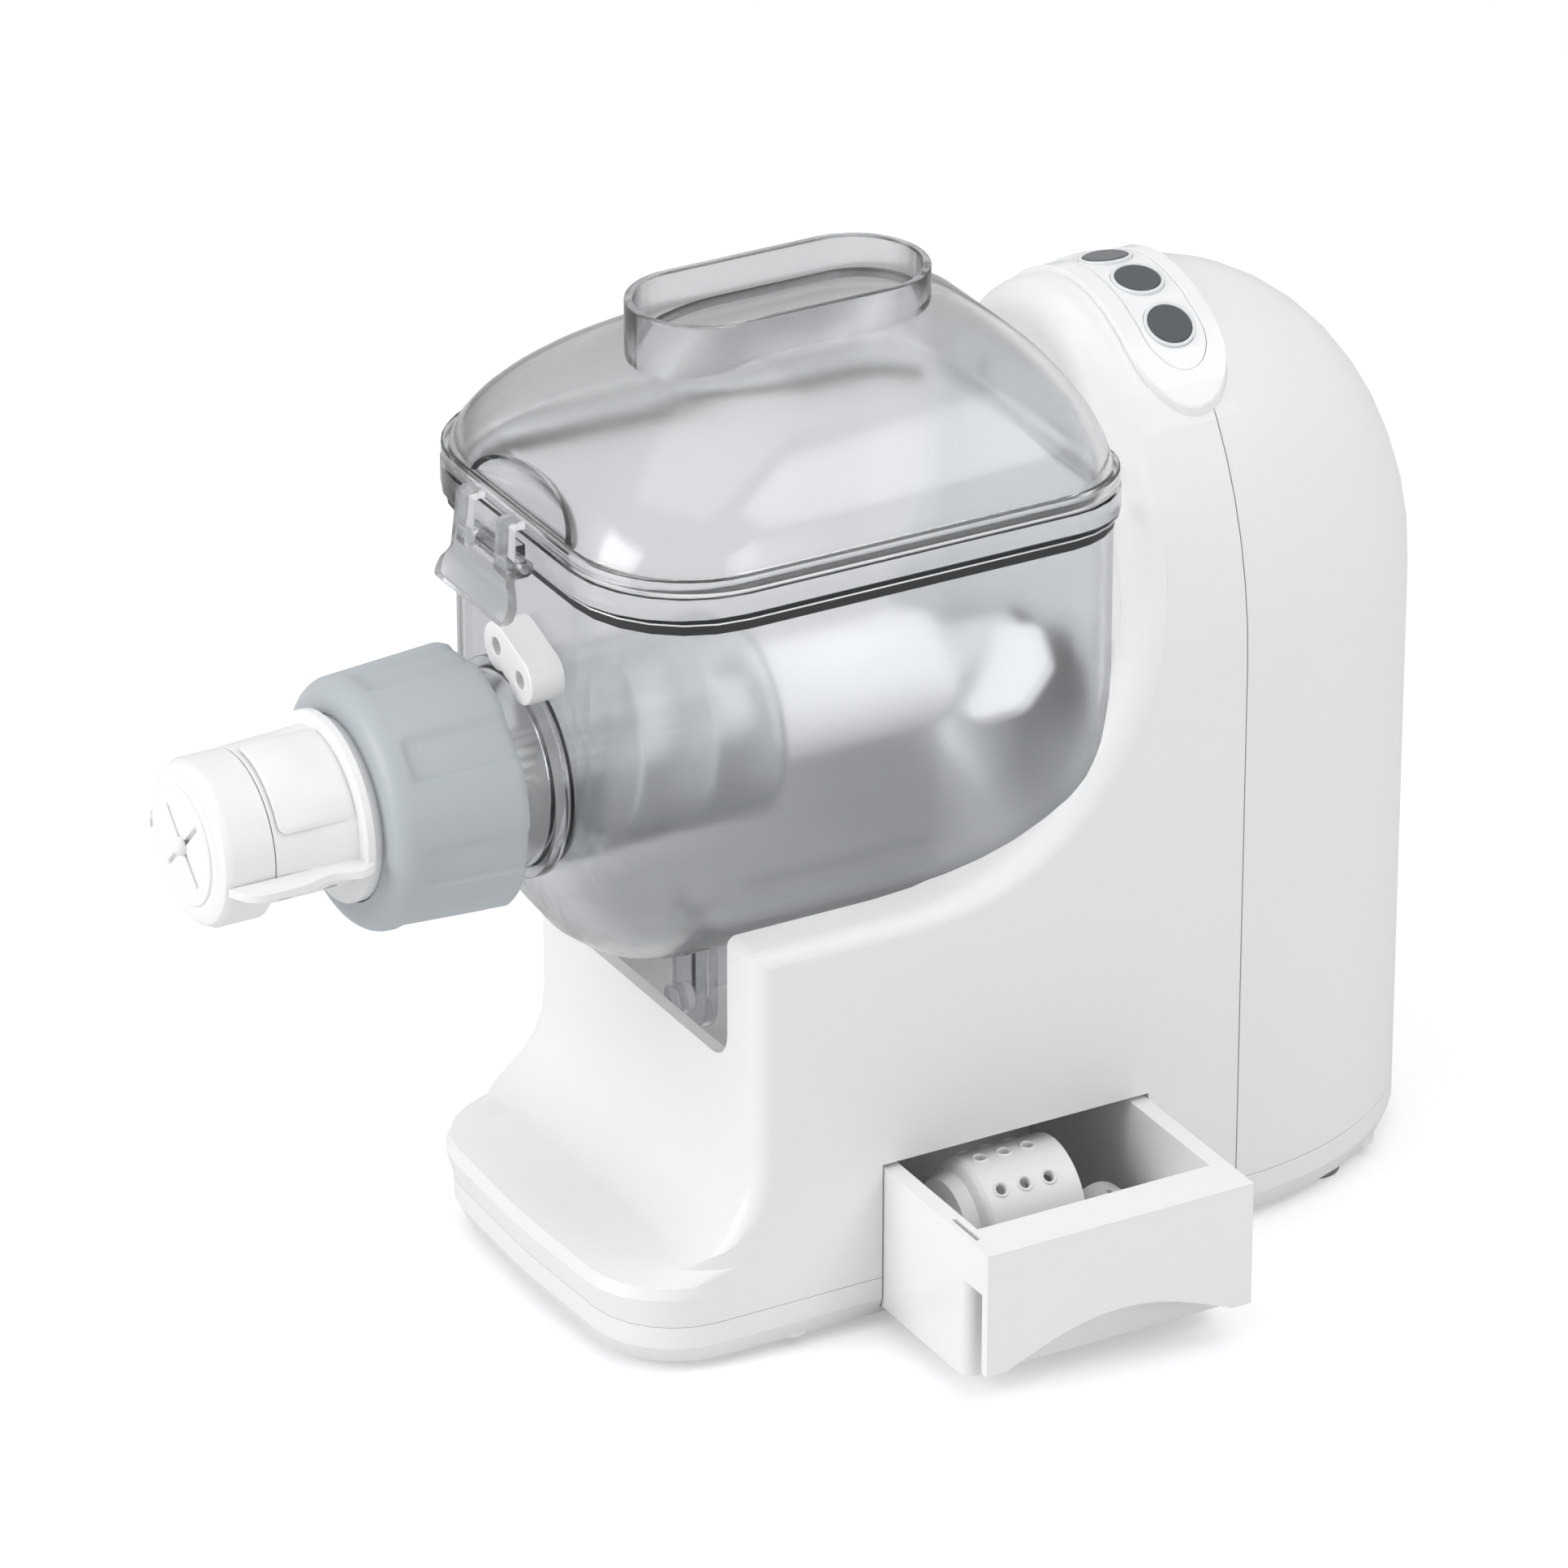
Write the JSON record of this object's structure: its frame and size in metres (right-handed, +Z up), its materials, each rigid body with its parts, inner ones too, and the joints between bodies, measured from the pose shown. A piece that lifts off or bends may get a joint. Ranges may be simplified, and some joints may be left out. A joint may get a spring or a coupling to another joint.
{
  "type": "electric pasta maker",
  "caption": "Countertop electric pasta maker with a clear mixing bowl and lid, extruder nozzle with lock ring, round-topped housing with push buttons, and a drawer for spare dies",
  "frame": {"origin": "on the table in the plane of the rubber feet, under the drive axis, at the middle of the width", "axes": "+Z up, +X towards the side where the drawer opens, -Y towards the nozzle"},
  "size_m": [0.197, 0.3978, 0.305],
  "materials": {
    "white_abs": "satin moulded white",
    "grey_rubber": "matt grey rubber",
    "zinc_steel": "zinc plated",
    "white_inner": "plain moulded white",
    "gland_rubber": "soft grey rubber",
    "white_gloss": "smooth glossy white",
    "white_panel": "smooth white",
    "pale_rings": "pale translucent",
    "green_board": "green solder mask",
    "grey_buttons": "smooth slate grey",
    "clear_bowl": "clear moulded plastic",
    "black_gasket": "soft black rubber",
    "clear_barrel": "clear moulded plastic",
    "white_block": "satin white",
    "steel_pin": "polished steel",
    "smoky_lid": "smoky grey clear plastic",
    "smoky_latch": "smoky grey translucent plastic",
    "grey_ring": "satin grey",
    "white_die": "satin white",
    "white_sleeve": "satin white",
    "steel_shaft": "ground stainless steel",
    "white_paddle": "satin white",
    "white_screw": "satin white",
    "seal_rubber": "soft grey rubber",
    "bronze_bush": "oiled sintered bronze",
    "dark_gearbox": "dark glass filled plastic",
    "gear_nylon": "natural nylon, greased",
    "motor_steel": "drawn steel",
    "rotor_steel": "laminated steel",
    "fan_plastic": "natural plastic",
    "plunger_plastic": "smooth grey",
    "spring_steel": "bright spring wire",
    "white_drawer": "smooth glossy white",
    "white_dies": "satin white"
  },
  "bodies": {
    "housing": {"base_tray": "white_abs", "rubber_feet": "grey_rubber", "base_screws": "zinc_steel", "front_housing": "white_abs", "rear_cover": "white_abs", "drawer_bay": "white_inner", "cord_gland": "gland_rubber", "control_bezel": "white_gloss", "control_panel": "white_panel", "button_rings": "pale_rings", "control_board": "green_board", "bowl": "clear_bowl", "rim_gasket": "black_gasket", "extrusion_barrel": "clear_barrel", "socket_block": "white_block", "latch_pin": "steel_pin", "die_drum": "white_die", "nozzle_cap": "white_die", "cap_button": "white_die", "shaft_seal": "seal_rubber", "main_bush": "bronze_bush", "gearbox_case": "dark_gearbox", "motor_case": "motor_steel", "plunger_spring": "spring_steel"},
    "lid": {"lid": "smoky_lid"},
    "latch": {"lid_latch": "smoky_latch"},
    "ring": {"lock_ring": "grey_ring"},
    "sleeve": {"cutter_sleeve": "white_sleeve"},
    "mixer": {"drive_shaft": "steel_shaft", "mixing_paddle": "white_paddle", "extruder_screw": "white_screw", "output_gear": "gear_nylon"},
    "layshaft": {"compound_gear": "gear_nylon"},
    "rotor": {"motor_rotor": "rotor_steel", "motor_fan": "fan_plastic"},
    "plunger": {"interlock_plunger": "plunger_plastic"},
    "button_power": {"power_button": "grey_buttons"},
    "button_knead": {"knead_button": "grey_buttons"},
    "button_extrude": {"extrude_button": "grey_buttons"},
    "button_mix": {"mix_button": "grey_buttons"},
    "drawer": {"drawer": "white_drawer", "die_tube": "white_dies", "die_cone": "white_dies", "die_puck": "white_dies"}
  },
  "joints": [
    {"name": "drawer_slide", "type": "slide", "parent": "housing", "child": "drawer", "axis": [1, 0, 0], "range_m": [-0.059, 0.02]},
    {"name": "lid_lift", "type": "slide", "parent": "housing", "child": "lid", "axis": [0, 0, 1], "range_m": [0, 0.08]},
    {"name": "latch_swing", "type": "hinge", "parent": "housing", "child": "latch", "pos_m": [0, -0.152, 0.242], "axis": [1, 0, 0], "range_deg": [0, 15]},
    {"name": "ring_turn", "type": "hinge", "parent": "housing", "child": "ring", "pos_m": [0, -0.1835, 0.1735], "axis": [0, 1, 0], "range_deg": [0, 60]},
    {"name": "sleeve_turn", "type": "hinge", "parent": "housing", "child": "sleeve", "pos_m": [0, -0.222, 0.1735], "axis": [0, 1, 0], "range_deg": [-90, 90]},
    {"name": "mixer_spin", "type": "hinge", "parent": "housing", "child": "mixer", "pos_m": [0, 0.03, 0.1735], "axis": [0, 1, 0], "continuous": true},
    {"name": "layshaft_spin", "type": "hinge", "parent": "housing", "child": "layshaft", "pos_m": [0, 0.055, 0.12975], "axis": [0, 1, 0], "continuous": true},
    {"name": "rotor_spin", "type": "hinge", "parent": "housing", "child": "rotor", "pos_m": [0, 0.09, 0.09725], "axis": [0, 1, 0], "continuous": true},
    {"name": "plunger_push", "type": "slide", "parent": "housing", "child": "plunger", "axis": [0, 1, 0], "range_m": [0, 0.0025], "stiffness_N_per_m": 300, "springref_m": -0.001, "deforming": ["plunger_spring"]},
    {"name": "power_press", "type": "slide", "parent": "housing", "child": "button_power", "axis": [0.5401, 0, -0.8416], "range_m": [0, 0.0008], "stiffness_N_per_m": 600, "springref_m": -0.001},
    {"name": "knead_press", "type": "slide", "parent": "housing", "child": "button_knead", "axis": [0.1946, 0, -0.9809], "range_m": [0, 0.0008], "stiffness_N_per_m": 600, "springref_m": -0.001},
    {"name": "extrude_press", "type": "slide", "parent": "housing", "child": "button_extrude", "axis": [-0.1946, 0, -0.9809], "range_m": [0, 0.0008], "stiffness_N_per_m": 600, "springref_m": -0.001},
    {"name": "mix_press", "type": "slide", "parent": "housing", "child": "button_mix", "axis": [-0.5401, 0, -0.8416], "range_m": [0, 0.0008], "stiffness_N_per_m": 600, "springref_m": -0.001}
  ],
  "couplings": [
    {"joint": "layshaft_spin", "follows": "mixer_spin", "ratio": -4},
    {"joint": "rotor_spin", "follows": "mixer_spin", "ratio": 16}
  ]
}
